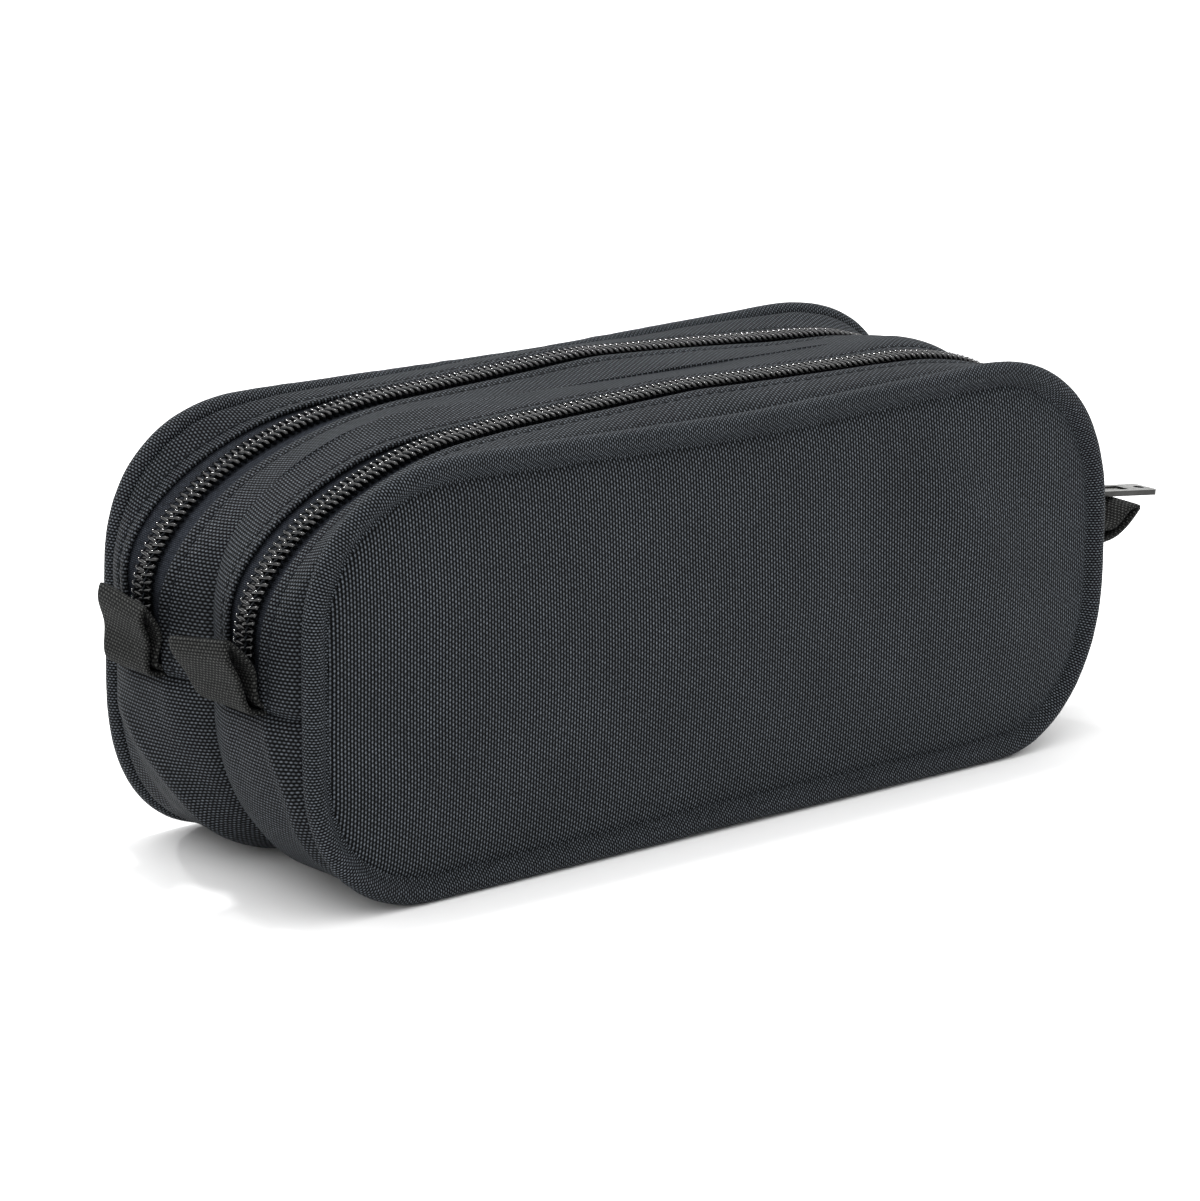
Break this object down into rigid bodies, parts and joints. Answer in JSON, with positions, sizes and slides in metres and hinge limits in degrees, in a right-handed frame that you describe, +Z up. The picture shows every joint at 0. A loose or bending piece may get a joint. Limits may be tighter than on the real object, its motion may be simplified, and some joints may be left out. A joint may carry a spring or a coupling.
{
  "type": "two-compartment zip bag",
  "caption": "Soft rectangular two-compartment zip bag with rounded corners, piped front and back panels, parallel coil zips over the top, metal pullers and folded webbing end tabs.",
  "frame": {"origin": "middle of the base, on the surface the bag stands on", "axes": "+X along the bag towards the closed end of the zips, +Y from the front panel to the back panel, +Z up"},
  "size_m": [0.2522, 0.0702, 0.087],
  "materials": {
    "cloth": "plain-woven polyester, very dark blue-black",
    "piping_cloth": "straight-cut woven polyester over cord",
    "piping_cord": "extruded filler cord",
    "binding_tape": "plain binding tape",
    "webbing": "ribbed narrow webbing, charcoal",
    "zip_tape": "fine woven zip tape",
    "zip_coil": "glossy black nylon coil",
    "slider_metal": "black enamelled die casting",
    "puller_metal": "polished nickel plate"
  },
  "bodies": {
    "shell": {"divider": "cloth", "front_panel": "cloth", "front_piping_cover": "piping_cloth", "front_piping_cord": "piping_cord", "front_seam_binding": "binding_tape", "front_lower_gusset": "cloth", "front_zip_outer_strip": "cloth", "front_zip_inner_strip": "cloth", "front_zip_outer_tape": "zip_tape", "front_zip_inner_tape": "zip_tape", "front_zip_outer_coil": "zip_coil", "front_zip_inner_coil": "zip_coil", "front_left_tab": "webbing", "front_right_tab": "webbing", "back_panel": "cloth", "back_piping_cover": "piping_cloth", "back_piping_cord": "piping_cord", "back_seam_binding": "binding_tape", "back_lower_gusset": "cloth", "back_zip_outer_strip": "cloth", "back_zip_inner_strip": "cloth", "back_zip_outer_tape": "zip_tape", "back_zip_inner_tape": "zip_tape", "back_zip_outer_coil": "zip_coil", "back_zip_inner_coil": "zip_coil", "back_left_tab": "webbing", "back_right_tab": "webbing"},
    "front_slider": {"front_slider": "slider_metal"},
    "front_puller": {"front_puller": "puller_metal"},
    "back_slider": {"back_slider": "slider_metal"},
    "back_puller": {"back_puller": "puller_metal"}
  },
  "joints": [
    {"name": "front_slider_travel", "type": "hinge", "parent": "shell", "child": "front_slider", "pos_m": [0.061, -0.016, 0.04], "axis": [0, -1, 0], "range_deg": [0, 78.7]},
    {"name": "front_puller_swing", "type": "hinge", "parent": "front_slider", "child": "front_puller", "pos_m": [0.10964, -0.016, 0.0497], "axis": [0, -1, 0], "range_deg": [0, 105]},
    {"name": "back_slider_travel", "type": "hinge", "parent": "shell", "child": "back_slider", "pos_m": [0.061, 0.016, 0.04], "axis": [0, -1, 0], "range_deg": [0, 78.7]},
    {"name": "back_puller_swing", "type": "hinge", "parent": "back_slider", "child": "back_puller", "pos_m": [0.10964, 0.016, 0.0497], "axis": [0, -1, 0], "range_deg": [0, 105]}
  ]
}
